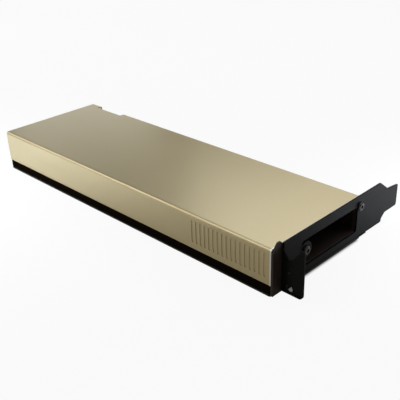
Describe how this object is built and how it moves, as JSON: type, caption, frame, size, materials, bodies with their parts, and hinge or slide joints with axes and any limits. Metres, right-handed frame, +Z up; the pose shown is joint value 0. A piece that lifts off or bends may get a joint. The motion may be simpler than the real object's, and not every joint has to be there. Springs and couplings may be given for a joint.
{
  "type": "passive accelerator card",
  "caption": "Double-slot server accelerator card with a folded metal air duct over a long fin stack, a black base frame and a slotted mounting bracket.",
  "frame": {"origin": "middle of the underside of the whole card's box", "axes": "+X from the tail to the bracket, +Y from the card's top edge to the edge connector, +Z up through the cover"},
  "size_m": [0.284, 0.1268, 0.0334],
  "materials": {
    "champagne_metal": "satin brushed, champagne gold",
    "black_cast": "fine matte black coating",
    "black_sheet": "matte black coating",
    "black_moulding": "fine matte",
    "backplate_metal": "fine matte black coating",
    "fin_metal": "rolled sheet",
    "plated_copper": "nickel plated, ground",
    "board_laminate": "black solder resist, satin",
    "contact_gold": "hard gold plate, bright",
    "package_laminate": "green resist, satin",
    "ring_metal": "nickel plated",
    "silicon": "polished",
    "chip_resin": "moulded resin, matte",
    "coil_ferrite": "pressed powder, matte",
    "capacitor_resin": "moulded resin with a pale bar",
    "pad_silicone": "soft, matte",
    "film": "thin film, satin",
    "spring_steel": "rolled",
    "screw_black": "black oxide, satin",
    "screw_steel": "zinc plated",
    "connector_nylon": "moulded nylon",
    "pin_metal": "tin plated"
  },
  "bodies": {
    "root": {"cover": "champagne_metal", "cover_screws": "screw_black", "tail_block": "black_cast", "tail_block_screws": "screw_black", "backplate": "backplate_metal", "insulating_sheet": "film", "standoffs": "screw_steel", "backplate_screws": "screw_black", "base_frame": "black_cast", "pcb": "board_laminate", "edge_contacts": "contact_gold", "package_substrate": "package_laminate", "package_ring": "ring_metal", "processor_die": "silicon", "memory_stacks": "silicon", "coils": "coil_ferrite", "power_stages": "chip_resin", "thermal_pads": "pad_silicone", "bulk_capacitors": "capacitor_resin", "controller_chips": "chip_resin", "heatsink_base": "plated_copper", "fin_stack": "fin_metal", "spring_plate": "spring_steel", "spring_screws": "screw_steel", "power_connector": "connector_nylon", "power_pins": "pin_metal", "end_frame": "black_moulding", "bracket": "black_sheet", "bracket_screws": "screw_black"}
  },
  "joints": []
}
